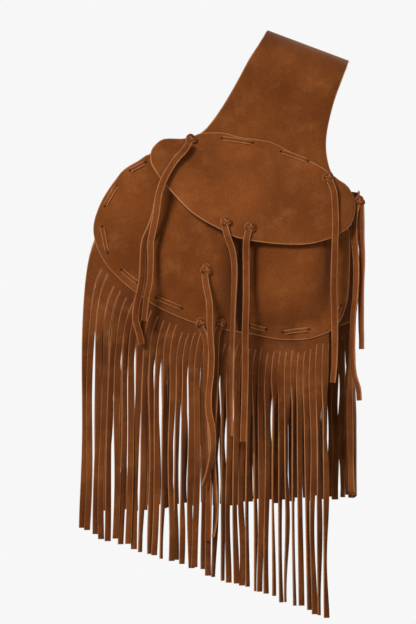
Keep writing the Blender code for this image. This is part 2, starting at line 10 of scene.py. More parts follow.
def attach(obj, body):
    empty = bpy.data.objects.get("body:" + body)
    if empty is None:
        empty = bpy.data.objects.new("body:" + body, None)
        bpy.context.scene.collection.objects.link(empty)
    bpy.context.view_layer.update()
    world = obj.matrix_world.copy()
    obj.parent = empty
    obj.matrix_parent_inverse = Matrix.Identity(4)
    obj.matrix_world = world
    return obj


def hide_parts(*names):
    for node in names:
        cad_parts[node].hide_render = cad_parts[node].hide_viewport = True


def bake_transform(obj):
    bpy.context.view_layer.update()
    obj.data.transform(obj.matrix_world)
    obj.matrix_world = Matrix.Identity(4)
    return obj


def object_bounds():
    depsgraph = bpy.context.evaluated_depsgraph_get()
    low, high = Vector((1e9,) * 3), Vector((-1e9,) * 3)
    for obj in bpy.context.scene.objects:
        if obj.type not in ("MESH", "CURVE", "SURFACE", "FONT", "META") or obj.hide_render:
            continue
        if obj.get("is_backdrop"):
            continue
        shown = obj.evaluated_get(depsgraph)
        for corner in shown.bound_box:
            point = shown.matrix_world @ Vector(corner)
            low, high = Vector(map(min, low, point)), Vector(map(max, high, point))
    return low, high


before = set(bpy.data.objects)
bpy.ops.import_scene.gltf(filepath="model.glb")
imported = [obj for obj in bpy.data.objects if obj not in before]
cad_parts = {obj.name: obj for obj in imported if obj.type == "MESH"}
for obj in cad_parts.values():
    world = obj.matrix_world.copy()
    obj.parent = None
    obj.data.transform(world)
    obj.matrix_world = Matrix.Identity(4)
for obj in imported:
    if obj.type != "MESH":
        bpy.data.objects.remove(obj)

CAD_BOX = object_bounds()

MM = 0.001

# Suede and the air between two pieces that touch
SUEDE = 1.8 * MM
FRINGE_SUEDE = 1.6 * MM
LACE_THICK = 1.3 * MM
LACE_WIDE = 4.6 * MM
CLEAR = 0.3 * MM

# The shoulder and the chest that the sheet is shaped to
RIDGE_FALL = 0.375
SHOULDER_RADIUS = 55 * MM
SHOULDER_TURN = math.radians(60)
CHEST_RADIUS = 300 * MM
CHEST_TURN = 0.09
CHEST_MIDDLE = -70 * MM
STRAIGHT_LEFT = -150 * MM
STRAIGHT_RIGHT = 28 * MM
LEFT_ROUND = 120 * MM
RIGHT_ROUND = 30 * MM

# The back half's turn forward under the arm
SIDE_START = 3 * MM
SIDE_RADIUS = 50 * MM
SIDE_LEAN = 11 * MM
LEAN_TOP = -165 * MM
LEAN_DEPTH = 195 * MM

# The pouch
HEM = 9 * MM
LOBE_DEPTH = 18 * MM
SMALL_LOBE_DEPTH = 6 * MM
MOUTH_DEPTH = 7.5 * MM
MOUTH_START = 75 * MM
MOUTH_BLEND = 60 * MM
RISE = 52 * MM
FLAT_HEM = 14 * MM

# The crease left of the pouch's mouth leans to the right at its top
CREASE_SHIFT = 18 * MM
CREASE_FOOT = -225 * MM
CREASE_HEIGHT = 75 * MM

# The flap
FOLD_LEFT = (-124 * MM, -96.5 * MM)
FOLD_RIGHT = (23 * MM, -134.5 * MM)
FLAP_LEAN = math.radians(11)
FLAP_STEP = 11 * MM
FLAP_STEP_LENGTH = 55 * MM
TIP_ROUND = 80 * MM

# The fringe
FRONT_LEFT_END = (-240 * MM, -508 * MM)
FRONT_RIGHT_END = (22.5 * MM, -602 * MM)
BACK_LEFT_END = (-228 * MM, -492 * MM)
BACK_RIGHT_END = (178 * MM, -470 * MM)

# The CAD's knots: balls of this radius, flattened by this share
KNOT = 4.3 * MM
KNOT_SQUASH = 0.8

# Outlines seen from the front, in millimetres, x and z; both halves' arm sides end alike
ARM_SIDE_TOP = [(19.5, -120), (18.2, -108), (18.7, -96), (20.6, -84), (23.6, -71), (26.8, -59.5),
                (30.4, -49), (34.2, -39), (38.2, -28.5), (43, -16)]
FRONT_LEFT_SIDE = [(-43.5, 16.4), (-54, -1), (-62.5, -14), (-71, -30), (-80, -46.5), (-91.3, -65.5),
                   (-101, -79.5), (-110, -90), (-119, -96.5), (-133, -101), (-148, -104),
                   (-163, -112), (-177.5, -122)]
POUCH_EDGE = [(-177.5, -122), (-196, -135), (-214.7, -161.7), (-223, -185), (-223, -205),
              (-214, -227), (-196, -248), (-167, -271), (-138, -286), (-105, -297),
              (-63, -304), (-30, -310), (0, -309), (21, -302)]
FRONT_RIGHT_SIDE = [(21, -302), (34, -288), (40, -268), (43, -236), (43, -205), (46, -186),
                    (48, -172), (47, -160), (42, -150), (35, -144), (27.5, -139.5),
                    (22.5, -131.5)] + ARM_SIDE_TOP
BACK_NECK_SIDE = [(-43.5, 16.4), (-52, -1), (-59, -14), (-67, -30), (-76, -47), (-85, -64),
                  (-94, -79), (-103, -91), (-115, -99.5), (-133, -106), (-163, -116),
                  (-188, -134), (-207, -161), (-215, -185), (-214, -205), (-205, -227),
                  (-187, -248), (-158, -269), (-129, -284), (-96, -295), (-54, -301),
                  (-21, -303), (20, -299)]
BACK_ARM_SIDE = [(20, -299), (70, -292), (130, -288), (170, -284), (179, -276), (181, -240),
                 (181, -180), (178, -162), (167, -154), (120, -153), (70, -154), (40, -150),
                 (26, -136)] + ARM_SIDE_TOP
POUCH_MOUTH = [(21, -302), (32, -290), (39, -268), (41, -236), (41, -200), (36, -184),
               (20, -172), (-48, -152), (-118, -133), (-146, -132), (-156, -124),
               (-166, -115), (-177.5, -122)]
FLAP_EDGE = [(-124, -96.5), (-133, -98), (-148, -98), (-156, -100), (-165, -109),
                  (-168, -120), (-165, -131), (-152, -149), (-129, -174), (-111, -187),
                  (-94, -196), (-78, -204), (-58, -208), (-30, -211), (-4, -211), (17, -206),
                  (33, -198), (43, -190), (48, -177), (49, -165), (45, -153), (37, -145),
                  (23, -134.5)]
FLAP_ARCH = [(-124, -96.5), (-111, -93), (-90, -93), (-75, -97), (-54, -100), (-39, -103),
             (-19, -113), (0, -122), (14, -129), (23, -134.5)]
FRONT_SLITS = [(-223, -199), (-219, -228), (-210, -242), (-193, -263), (-160, -282),
               (-138, -297), (-118, -304), (-54, -319), (-35, -323), (-8, -320), (21, -312)]
BACK_SLITS = [(-220, -190), (-212, -222), (-196, -246), (-160, -274), (-96, -302),
              (-21, -311), (70, -302), (178, -292)]
BACK_BAND_TOP = [(-220, -168), (-206, -196), (-186, -222), (-155, -248), (-92, -275),
                 (-21, -286), (70, -278), (178, -267)]

# The ends of each visible run of lacing, in millimetres, x and z
EDGE_RUNS = [((-185, -132), (-171, -124)), ((-200, -148), (-212, -169)),
             ((-215, -192), (-209, -218)), ((-195, -237), (-179, -250)),
             ((-160, -266), (-134, -277)), ((-62, -295), (-46, -299)),
             ((-27, -302), (-1, -299)), ((28.5, -284), (32, -275))]
FLAP_RUNS = [((-91, -99), (-60, -103.5)), ((-29, -113), (-2, -122.5))]
BACK_RUNS = [((-197, -213), (-185, -232)), ((-172, -250), (-150, -265)),
             ((-128, -276), (-102, -286)), ((-76, -291), (-48, -295)),
             ((-20, -297), (10, -294)), ((40, -289), (70, -286)), ((100, -283), (130, -280)),
             ((148, -278), (169, -276))]

# The knots, in millimetres: where the knot sits, x and z, seen from the front
FLAP_LEFT_KNOT = (-124.5, -99.5)
FLAP_RIGHT_KNOT = (20, -139.2)
TIE_KNOTS = [(-90, -188), (-64, -193)]
POUCH_KNOT = (-110, -236)
EDGE_KNOTS = [(-114, -292), (-94, -293)]

# The hanging thongs' routes, in millimetres, x, y and z
FLAP_THONGS = {
    "flap_left_long_thong": [(-125.5, -104.5, -102.3), (-131, -111.5, -111), (-141, -118, -122),
                             (-152, -126, -141), (-158, -128, -159), (-160, -127, -175),
                             (-163, -126, -191), (-166, -125, -207), (-166, -124, -224),
                             (-167, -123, -248), (-170, -122, -264), (-173, -121, -289)],
    "flap_left_short_thong": [(-127.8, -101, -104.6), (-133, -106.5, -111),
                              (-141.5, -113.5, -122), (-152.5, -121.3, -141),
                              (-158, -123, -159), (-162, -122, -178), (-167, -120, -192),
                              (-172, -118, -203), (-174, -116, -215), (-175, -115, -239),
                              (-177, -114, -255), (-181, -112, -272), (-182, -111, -288),
                              (-178, -110, -303), (-176, -110, -314)],
    "flap_right_thong": [(21.9, -85.9, -141.9), (26, -89.5, -153), (27.5, -95, -170),
                         (28, -99.5, -186), (27.5, -102, -200), (27, -102.5, -214),
                         (26, -102, -252), (27, -101, -289), (27, -100.5, -330),
                         (25, -100, -354)],
    "tie_thong_1": [(-88.5, -122, -189.9), (-84.5, -124, -204), (-81, -124, -213),
                    (-79, -123, -224), (-78, -122, -240), (-79, -121, -268),
                    (-80, -120, -300), (-81, -119, -350), (-82, -118, -410)],
    "tie_thong_2": [(-63.4, -118.5, -194.3), (-66, -120, -208), (-66, -119.5, -240),
                    (-66, -118.5, -268), (-67, -117.5, -300), (-67, -116.5, -350),
                    (-69, -115.5, -416)],
}
POUCH_THONGS = {
    "pouch_thong": [(-109.4, -119, -240), (-108, -119.5, -252), (-105, -119, -267),
                    (-104, -118, -281), (-104, -117, -296), (-103, -116, -311),
                    (-102, -115, -327), (-103, -114.5, -348), (-105, -114, -365),
                    (-105, -113.5, -384), (-102, -113, -402), (-101, -112.5, -423),
                    (-105, -112, -445), (-111, -112, -463)],
    "edge_thong_1": [(-113.3, -102, -296), (-109, -103, -306), (-107.5, -103, -320),
                     (-108, -103, -352), (-107, -103, -404), (-105, -102.5, -457),
                     (-106, -102, -520)],
    "edge_thong_2": [(-94.3, -100.9, -295.9), (-97, -103, -306), (-98, -103.5, -329),
                     (-99, -103.5, -373), (-101, -103.2, -425), (-98, -102.5, -470),
                     (-97, -102.5, -494), (-100.5, -102, -516)],
}

# The side tie: its knot's place on the back half's edge, x and z, and its ends' routes from there
SIDE_TIE = (178.85, -164)
SIDE_THONGS = {
    "side_thong_1": [(-2.3, -0.8, -4.2), (-5, -3, -17), (-5, -4.5, -40), (-3, -5.5, -71),
                     (-4, -5, -101), (-6, -5, -119), (-7, -4.5, -145), (-7, -4.5, -166),
                     (-5, -4, -184), (-1, -3.5, -197), (0, -3.5, -210)],
    "side_thong_2": [(2.1, -1, -4.2), (2.5, -1.5, -20), (2.5, -1, -40), (3, -0.5, -63),
                     (2, -0.5, -92), (2, 0, -127), (2.5, 0.5, -145), (2.5, 0.5, -156)],
}

# The photograph's frame: its height in pixels, the size of one in metres, and its middle
FRAME_HEIGHT = 624
PIXEL = 1.05 * MM
MIDDLE = (-106 * MM, -280 * MM)
CAMERA_FAR = 14.0
CAMERA_PLANE = -95 * MM

# Painted shade in the deep crease between the pouch's lobes: its place, its half width, its top and
# the length of its point there, its foot and how much is left there, how strong it is, and the dim
# band of painted shade round it
FOLD_MIDDLE = -72.5 * MM
FOLD_HALF = 7 * MM
FOLD_TOP = -194 * MM
FOLD_POINT = 42 * MM
FOLD_END = -309 * MM
FOLD_FOOT = 25 * MM
FOLD_LEFT_OVER = 0.45
FOLD_DEEP = 2.0
# The dim band is painted shade where the ties' shadows fall beside the crease
FOLD_DIM = 34 * MM
FOLD_DIMMEST = 0.2
FOLD_SHADE_COLOUR = (0.022, 0.0055, 0.0015)

# The suede's soft sheen, and how much its finest grain stands out
SHEEN = 0.1
NAP = 0.35

# The tones of each kind of suede: dark, middle and light
SUEDES = {
    "cut_edge": ((0.25, 0.095, 0.035), (0.34, 0.14, 0.055), (0.42, 0.19, 0.08)),
    "suede": ((0.120, 0.0315, 0.0057), (0.190, 0.0525, 0.0106), (0.250, 0.080, 0.0200)),
    # Darker than the sheet's suede: partly the fringe's own tone, partly painted shade for the
    # shadow among its strips
    "fringe_suede": ((0.085, 0.0215, 0.0045), (0.155, 0.0435, 0.0095), (0.230, 0.0730, 0.0190)),
    "thong_suede": ((0.112, 0.0275, 0.0052), (0.170, 0.0445, 0.0090), (0.225, 0.068, 0.0165)),
    "flap_suede": ((0.130, 0.0340, 0.0064), (0.205, 0.0570, 0.0120), (0.270, 0.0870, 0.0225)),
    "pouch_suede_crease_shade": ((0.118, 0.0305, 0.0055), (0.187, 0.0513, 0.0104), (0.250, 0.0800, 0.0200)),
}

# Each lamp's place, size and power, where they all point, and how deep the floor lies
LAMPS = {
    "key": ((-1.5, -2.9, 1.3), 1.0, 116),
    "fill": ((2.2, -2.4, 0.1), 1.6, 9),
    "rear": ((1.5, 2.4, 0.9), 1.8, 55),
}
LIT_PLACE = (-0.1, -0.1, -0.25)
FLOOR_LEVEL = -1.42

# How much paler the floor looks to the camera than its lamps make it
FLOOR_GLOW = 0.5

# How far apart points lie on outlines and routes, and on the big sheet's
FINE_STEP = 4 * MM
WIDE_STEP = 8 * MM

# How far to each side a fringe's surface is felt for its lie
NEAR = 2 * MM

# The part of the pouch's edge that is its bottom: below the one, and right of the other
BOTTOM_BELOW = -200 * MM
BOTTOM_FROM = -223 * MM

# How far in the cut edges are rounded off, and the hanging thongs' section
CUT = 1.0 * MM
FRINGE_CUT = 0.4 * MM
THONG_CUT = 0.8 * MM
THONG_WIDE = 7 * MM
THONG_THICK = 1.7 * MM

# The fringes' strips. FAN and HEAD shares are of a strip's length, down from its head: each
# moves sideways over FAN_SOON and leans over HEAD_LEAN_SOON, is fullest at HEAD_FULL_AT, and
# turns about its line only below HEAD_FLAT.
FRONT_STRIPS = 38
BACK_STRIPS = 57
STRIP_GAP = 0.3 * MM
STRIP_ROWS = 30
STRIP_STEP_OUT = 2.6 * MM
STRIP_SWELL = 0.8 * MM
STRIP_WIDEN = 0.06
FAN_SHARE = 0.56
FAN_SOON = 0.09
HEAD_LEAN = 2.5 * MM
HEAD_LEAN_SOON = 0.06
HEAD_UNEVEN = 3 * MM
HEAD_FLAT = 0.08
HEAD_FULL = 0.16
HEAD_FULL_AT = 0.1
HEAD_FULL_SPAN = 0.07

# Waves, puckers and dents in the sheets, and the bend at the flap's fold
RIPPLE = 0.9 * MM
RIPPLE_START = 90 * MM
GATHER = 1.5 * MM
GATHER_START = 10 * MM
GATHER_FULL = 14 * MM
GATHER_FADE = 34 * MM
DENT = 1.6 * MM
DENT_FROM_PUFF = 8 * MM
FLAP_RIPPLE_START = 40 * MM
FOLD_BEND = 5 * MM

# The runs of lacing: they rise between their holes and sink in past RUN_LEVEL
RUN_STEPS = 12
RUN_RISE = 0.55 * MM
RUN_SINK = 2.2 * MM
RUN_LEVEL = 0.86
HOLE = 1.1 * MM
HOLE_SIDES = 10

# The knots' straps, wound in three lobes
KNOT_TURN = 1.4 * MM
KNOT_STRETCH = 1.12
KNOT_PINCH = 0.86
KNOT_WIDE = 4.6 * MM
KNOT_THICK = 1.9 * MM
KNOT_CUT = 0.7 * MM
KNOT_STEPS = 72
KNOT_RISE = 2.7 * MM
KNOT_WEAVE = 1.5 * MM
KNOT_TILT = 0.3

# How much of the thickness lies to each side of the middle: at a cut edge, and elsewhere
STRAP_LIP = 0.28
SHEET_LIP = 0.22
FULL = 0.5

# How far each hanging thong is turned about its own line, in degrees, at its top, middle and end
THONG_TURNS = {
    "flap_left_long_thong": (25, 5, 35),
    "flap_left_short_thong": (40, -25, -10),
    "flap_right_thong": (10, -8, 40),
    "tie_thong_1": (15, 52, 62),
    "tie_thong_2": (0, 6, 14),
    "pouch_thong": (5, 30, -50),
    "edge_thong_1": (30, 65, 20),
    "edge_thong_2": (-25, 40, 75),
    "side_thong_1": (22, 38, 45),
    "side_thong_2": (35, 30, 45),
}

# How far each knot leans, in degrees, its top to the wearer's left
KNOT_LEANS = {
    "flap_left_knot": -28,
    "flap_right_knot": 12,
    "tie_knot_1": -32,
    "tie_knot_2": 6,
    "pouch_knot": 0,
    "edge_knot_1": -22,
    "edge_knot_2": 24,
    "side_knot": 10,
}


# Curves and outlines

def smooth(t):
    """0 to 1 with level ends."""
    t = min(1.0, max(0.0, t))
    return t * t * (3 - 2 * t)


def through(points, step, closed=False):
    """Points about step apart on a smooth curve through the given ones."""
    count = len(points)
    found = []
    for i in range(count if closed else count - 1):
        if closed:
            a, b, c, d = (Vector(points[(i + k) % count]) for k in (-1, 0, 1, 2))
        else:
            b, c = Vector(points[i]), Vector(points[i + 1])
            a = Vector(points[i - 1]) if i else b
            d = Vector(points[i + 2]) if i + 2 < count else c
        parts = max(1, round((c - b).length / step))
        for k in range(parts):
            t = k / parts
            found.append(0.5 * (2 * b + (c - a) * t + (2 * a - 5 * b + 4 * c - d) * t * t
                                + (3 * b - a - 3 * c + d) * t ** 3))
    return found if closed else found + [Vector(points[-1])]


def in_metres(points):
    """The same points, given in millimetres."""
    return [tuple(value * MM for value in point) for point in points]


def height_on(line, x):
    """The height of a line of (x, z) points at x."""
    if x <= line[0][0]:
        return line[0][1]
    for (x0, z0), (x1, z1) in zip(line, line[1:]):
        if x <= x1:
            return z0 + (z1 - z0) * (x - x0) / max(x1 - x0, 1e-6)
    return line[-1][1]


def inside(point, loop):
    """Whether a flat point lies in a closed loop."""
    x, y = point
    found = False
    for a, b in zip(loop, loop[1:] + loop[:1]):
        if (a[1] > y) != (b[1] > y) and x < a[0] + (y - a[1]) * (b[0] - a[0]) / (b[1] - a[1]):
            found = not found
    return found


# The surface that the big sheet follows

SHOULDER_LENGTH = SHOULDER_RADIUS * SHOULDER_TURN
CHEST_LENGTH = CHEST_RADIUS * (math.pi / 2 - SHOULDER_TURN)
SHOULDER_DROP = SHOULDER_RADIUS * (1 - math.cos(SHOULDER_TURN))
CHEST_DROP = CHEST_RADIUS * math.cos(SHOULDER_TURN)


def profile(along):
    """How far forward and down the sheet is after that length from the ridge."""
    turned = min(along, SHOULDER_LENGTH) / SHOULDER_RADIUS
    reach = SHOULDER_RADIUS * math.sin(turned)
    drop = SHOULDER_RADIUS * (1 - math.cos(turned))
    if along > SHOULDER_LENGTH:
        more = min(along - SHOULDER_LENGTH, CHEST_LENGTH) / CHEST_RADIUS
        reach += CHEST_RADIUS * (math.sin(SHOULDER_TURN + more) - math.sin(SHOULDER_TURN))
        drop += CHEST_RADIUS * (math.cos(SHOULDER_TURN) - math.cos(SHOULDER_TURN + more))
    return reach, drop + max(0.0, along - SHOULDER_LENGTH - CHEST_LENGTH)


def length_at(drop):
    """The length from the ridge to where the sheet has dropped that far."""
    if drop <= SHOULDER_DROP:
        return SHOULDER_RADIUS * math.acos(1 - max(drop, 0.0) / SHOULDER_RADIUS)
    if drop <= SHOULDER_DROP + CHEST_DROP:
        turned = math.acos(math.cos(SHOULDER_TURN) - (drop - SHOULDER_DROP) / CHEST_RADIUS)
        return SHOULDER_LENGTH + CHEST_RADIUS * (turned - SHOULDER_TURN)
    return SHOULDER_LENGTH + CHEST_LENGTH + drop - SHOULDER_DROP - CHEST_DROP


def chest_plan(x):
    """How far back the front half lies at x, besides its profile."""
    back = CHEST_TURN * (x - CHEST_MIDDLE)
    back += max(0.0, x - STRAIGHT_RIGHT) ** 2 / (2 * RIGHT_ROUND)
    return back + max(0.0, STRAIGHT_LEFT - x) ** 2 / (2 * LEFT_ROUND)


def side_plan(x):
    """The back half in plan: it turns forward under the arm past SIDE_START."""
    past = max(0.0, x - SIDE_START)
    turned = min(past / SIDE_RADIUS, math.pi / 2)
    forward = SIDE_RADIUS * (1 - math.cos(turned))
    forward += max(0.0, past - SIDE_RADIUS * math.pi / 2)
    return min(x, SIDE_START) + SIDE_RADIUS * math.sin(turned), -forward


def sheet_point(x, along):
    """The middle of the big sheet: along is positive down the front, negative down the back."""
    reach, drop = profile(abs(along))
    share = smooth(drop / (SHOULDER_DROP * 3))
    level = SUEDE / 2 - RIDGE_FALL * x - drop
    if along >= 0:
        return Vector((x, share * chest_plan(x) - reach, level))
    px, py = side_plan(x)
    turned = smooth((x - SIDE_START) / (SIDE_RADIUS * math.pi / 2))
    lean = SIDE_LEAN * turned * smooth((LEAN_TOP - level) / LEAN_DEPTH)
    return Vector((px - lean, reach + py, level))


def side_seat():
    """The place on the edge of the back half, under the arm, where the side tie sits."""
    return sheet_point(*at_height(*(value * MM for value in SIDE_TIE), False))


def normal_of(surface, u, v, step=0.5 * MM):
    """The direction at right angles to a surface."""
    across = surface(u + step, v) - surface(u - step, v)
    down = surface(u, v + step) - surface(u, v - step)
    return across.cross(down).normalized()


def at_height(x, z, front=True):
    """The sheet's own coordinates of the place at x and z."""
    along = length_at(-RIDGE_FALL * x - z)
    return (x, along) if front else (x, -along)


def outward(surface, u, v, front=True):
    """The surface's normal on the side away from the wearer."""
    normal = normal_of(surface, u, v)
    if normal.dot(Vector((0, -1, 0) if front else (1, 1, 0))) < 0:
        normal.negate()
    return normal


def off_sheet(x, z, out, front=True):
    """The place at x and z that lies out from the middle of the big sheet."""
    u, v = at_height(x, z, front)
    return sheet_point(u, v) + outward(sheet_point, u, v, front) * out


# The pouch's front panel stands off the sheet by its puff

EDGE = through(in_metres(POUCH_EDGE), FINE_STEP)
BOTTOM = sorted((point.x, point.y) for point in EDGE
                if point.y < BOTTOM_BELOW and point.x > BOTTOM_FROM)
LOBES = [(-180 * MM, 19 * MM, SMALL_LOBE_DEPTH), (-120 * MM, 45.5 * MM, LOBE_DEPTH),
         (-22 * MM, 45 * MM, LOBE_DEPTH)]


def crease_shift(z):
    """How far the crease lies to the right at that height."""
    return CREASE_SHIFT * smooth((z - CREASE_FOOT) / CREASE_HEIGHT)


def pouch_puff(x, z):
    """How far the front panel's inner face stands off the fringe's band."""
    above = z - height_on(BOTTOM, x)
    rise = min(1.0, max(0.0, (above - FLAT_HEM) / RISE))
    rise = rise * (2 - rise)
    mouth = smooth((above - MOUTH_START) / MOUTH_BLEND)
    puff = 0.0
    for number, (middle, half, depth) in enumerate(LOBES):
        left, right = middle - half, middle + half
        if number == 0:
            right += crease_shift(z)
        if number == 1:
            left += crease_shift(z)
        share = (2 * x - left - right) / (right - left)
        full = depth if number == 0 else depth + (MOUTH_DEPTH - depth) * mouth
        if abs(share) < 1:
            puff += full * (1 - share ** 4)
    return puff * rise


# The flap hangs from its fold line in a plane of its own

def fold_end(place):
    """The fold line's end, on the outer face of the flap's laced margin."""
    x, z = place
    return off_sheet(x, z, 1.5 * SUEDE + CLEAR)


FOLD_A, FOLD_B = fold_end(FOLD_LEFT), fold_end(FOLD_RIGHT)
FOLD = (FOLD_B - FOLD_A).normalized()
LEANING = Vector((0, -math.sin(FLAP_LEAN), -math.cos(FLAP_LEAN)))
FLAP_DOWN = (LEANING - FOLD * LEANING.dot(FOLD)).normalized()
FLAP_OUT = FLAP_DOWN.cross(FOLD).normalized()
if FLAP_OUT.y > 0:
    FLAP_OUT.negate()


def on_flap(x, z):
    """The flap's own coordinates, along and below its fold, of the place seen at x and z."""
    dx, dz = x - FOLD_A.x, z - FOLD_A.z
    size = FOLD.x * FLAP_DOWN.z - FOLD.z * FLAP_DOWN.x
    return (dx * FLAP_DOWN.z - dz * FLAP_DOWN.x) / size, (FOLD.x * dz - FOLD.z * dx) / size


def flap_surface(x, z, out):
    """The flap's surface; its outer face has out=0 and starts on the fold line."""
    along, below = on_flap(x, z)
    step = FLAP_STEP * smooth(below / FLAP_STEP_LENGTH)
    past = max(0.0, along - (FOLD_B - FOLD_A).length)
    step -= past * past / (2 * TIP_ROUND)
    return FOLD_A + FOLD * along + FLAP_DOWN * below + FLAP_OUT * (step + out)


# Builders of closed meshes

def new_object(name, mesh, mats, angle=40):
    """The mesh as an object in the scene, smooth except at its sharp edges."""
    mesh.shade_smooth()
    mesh.set_sharp_from_angle(angle=math.radians(angle))
    for mat in mats:
        mesh.materials.append(mat)
    made = bpy.data.objects.new(name, mesh)
    bpy.context.collection.objects.link(made)
    return made


def closed(name, points, faces, kinds, mats, angle=40):
    """A closed mesh facing outwards; kinds gives each face's place in mats."""
    mesh = bpy.data.meshes.new(name)
    mesh.from_pydata([tuple(p) for p in points], [], faces)
    mesh.polygons.foreach_set("material_index", kinds)
    work = bmesh.new()
    work.from_mesh(mesh)
    bmesh.ops.recalc_face_normals(work, faces=work.faces)
    if work.calc_volume(signed=True) < 0:
        bmesh.ops.reverse_faces(work, faces=work.faces)
    work.to_mesh(mesh)
    work.free()
    return new_object(name, mesh, mats, angle)


def shell(name, tops, unders, cells, kinds, mats):
    """A thin solid: the same cells on both faces, and a wall, a cut edge, round them."""
    count = len(tops)
    faces = [tuple(c) for c in cells] + [tuple(count + i for i in reversed(c)) for c in cells]
    kinds = kinds + kinds
    edges = {(a, b) for c in cells for a, b in zip(c, c[1:] + c[:1])}
    for a, b in sorted(edges):
        if (b, a) not in edges:
            faces.append((b, a, count + a, count + b))
            kinds.append(1)
    return closed(name, tops + unders, faces, kinds, mats)


def inset(loop, distance):
    """The loop moved inwards by a small distance."""
    count = len(loop)
    area = sum(a[0] * b[1] - b[0] * a[1] for a, b in zip(loop, loop[1:] + loop[:1]))
    turn = 1 if area > 0 else -1
    moved = []
    for i, (x, y) in enumerate(loop):
        before, after = loop[i - 1], loop[(i + 1) % count]
        dx, dy = after[0] - before[0], after[1] - before[1]
        size = math.hypot(dx, dy)
        moved.append((x - turn * dy / size * distance, y + turn * dx / size * distance))
    return moved


def cut_sheet(name, outline, spacing, surface, mats):
    """A sheet of suede cut to the outline, with its cut edge rounded off."""
    loop = [tuple(p) for p in outline]
    ring = inset(loop, CUT)
    lows = [min(p[k] for p in loop) for k in (0, 1)]
    highs = [max(p[k] for p in loop) for k in (0, 1)]
    inner = []
    for row in range(int((highs[1] - lows[1]) / (spacing * 0.87)) + 1):
        v = lows[1] + (row + 0.5) * spacing * 0.87
        u = lows[0] + (0.25 + 0.5 * (row % 2)) * spacing
        while u < highs[0]:
            near = min(abs(u - p[0]) + abs(v - p[1]) for p in ring)
            if near > 0.75 * spacing and inside((u, v), ring):
                inner.append((u, v))
            u += spacing
    count = len(loop)
    rims = [(i, (i + 1) % count) for i in range(count)]
    rims += [(count + a, count + b) for a, b in rims]
    points = [Vector(p) for p in loop + ring + inner]
    found = delaunay_2d_cdt(points, rims, [], 1, 1e-8)
    cells = [tuple(f) for f in found[2]]
    sources = found[3]
    rim = {i for i, source in enumerate(sources) if any(s < count for s in source)}
    tops, unders = [], []
    for i, (u, v) in enumerate(found[0]):
        middle, normal = surface(u, v), normal_of(surface, u, v)
        half = SUEDE * (SHEET_LIP if i in rim else FULL)
        tops.append(middle + normal * half)
        unders.append(middle - normal * half)
    kinds = [1 if any(i in rim for i in c) else 0 for c in cells]
    return shell(name, tops, unders, cells, kinds, mats)


def strap_ring(middle, across, up, wide, thick, cut):
    """The eight corners of a flat strap's section, its edges rounded off."""
    half, lip = wide / 2, thick * STRAP_LIP
    corners = [(-half, -lip), (cut - half, -thick / 2), (half - cut, -thick / 2), (half, -lip),
               (half, lip), (half - cut, thick / 2), (cut - half, thick / 2), (-half, lip)]
    return [middle + across * a + up * b for a, b in corners]


def strap(points, ups, wide, thick, cut, joined=False):
    """A flat strap's points, faces and their kinds along a line, with the up side at each point."""
    corners, faces, kinds = [], [], []
    count = len(points)
    around = 8
    for i, (middle, up) in enumerate(zip(points, ups)):
        ahead = points[(i + 1) % count if joined else min(i + 1, count - 1)]
        back = points[(i - 1) % count if joined else max(i - 1, 0)]
        along = (ahead - back).normalized()
        across = along.cross(up).normalized()
        corners += strap_ring(middle, across, across.cross(along).normalized(), wide, thick, cut)
    for i in range(count if joined else count - 1):
        a, b = around * i, around * ((i + 1) % count)
        for k in range(around):
            faces.append((a + k, a + (k + 1) % around, b + (k + 1) % around, b + k))
            kinds.append(0 if k in (1, 5) else 1)
    if not joined:
        last = around * (count - 1)
        faces += [tuple(range(around - 1, -1, -1)), tuple(range(last, last + around))]
        kinds += [1, 1]
    return corners, faces, kinds


def joined_up(name, parts, mats, angle=40):
    """One object of several closed bodies."""
    points, faces, kinds = [], [], []
    for corners, cells, cell_kinds in parts:
        start = len(points)
        points += corners
        faces += [tuple(start + i for i in cell) for cell in cells]
        kinds += cell_kinds
    return closed(name, points, faces, kinds, mats, angle)


# Materials

def set_or_link(tree, sockets, values):
    """Each socket gets its value, or a link where the value is a socket too."""
    for socket, value in zip(sockets, values):
        if hasattr(value, "links"):
            tree.links.new(value, socket)
        else:
            socket.default_value = value


def mix(tree, factor, first, second, blend="MIX"):
    """A colour mix; each of the three is a socket or a value."""
    node = tree.nodes.new("ShaderNodeMix")
    node.data_type, node.blend_type = "RGBA", blend
    set_or_link(tree, (node.inputs[0], node.inputs[6], node.inputs[7]), (factor, first, second))
    return node.outputs[2]


def spread(tree, value, low, high, to_low=0.0, to_high=1.0):
    """The value, moved from low and high to the other two and kept between them."""
    node = tree.nodes.new("ShaderNodeMapRange")
    set_or_link(tree, node.inputs[:5], (value, low, high, to_low, to_high))
    return node.outputs[0]


def maths(tree, kind, *values, clamp=False):
    """One sum of sockets and values."""
    node = tree.nodes.new("ShaderNodeMath")
    node.operation, node.use_clamp = kind, clamp
    set_or_link(tree, node.inputs, values)
    return node.outputs[0]


def fold_shade_mask(tree, where):
    """Where shade is painted: 1 in the deep crease between the pouch's lobes, which runs out to a
    point at its top.

    A soft dim band of painted shade, where the ties' shadows fall, lies to both sides of it.
    """
    parts = tree.nodes.new("ShaderNodeSeparateXYZ")
    tree.links.new(where, parts.inputs[0])
    x, z = parts.outputs[0], parts.outputs[2]
    away = maths(tree, "ABSOLUTE", maths(tree, "SUBTRACT", x, FOLD_MIDDLE))
    high = spread(tree, z, FOLD_TOP - FOLD_POINT, FOLD_TOP, FOLD_DEEP, 0)
    low = spread(tree, z, FOLD_END, FOLD_END + FOLD_FOOT, FOLD_LEFT_OVER * FOLD_DEEP, FOLD_DEEP)
    deep = maths(tree, "MINIMUM", high, low)
    sharp = maths(tree, "SUBTRACT", deep, spread(tree, away, 0, FOLD_HALF, 0, FOLD_DEEP))
    # A soft band of painted shadow to both sides of the crease, for the ties' shadows
    dim = maths(tree, "MULTIPLY", deep, spread(tree, away, 0, FOLD_DIM, FOLD_DIMMEST, 0))
    return maths(tree, "MAXIMUM", sharp, dim, clamp=True)


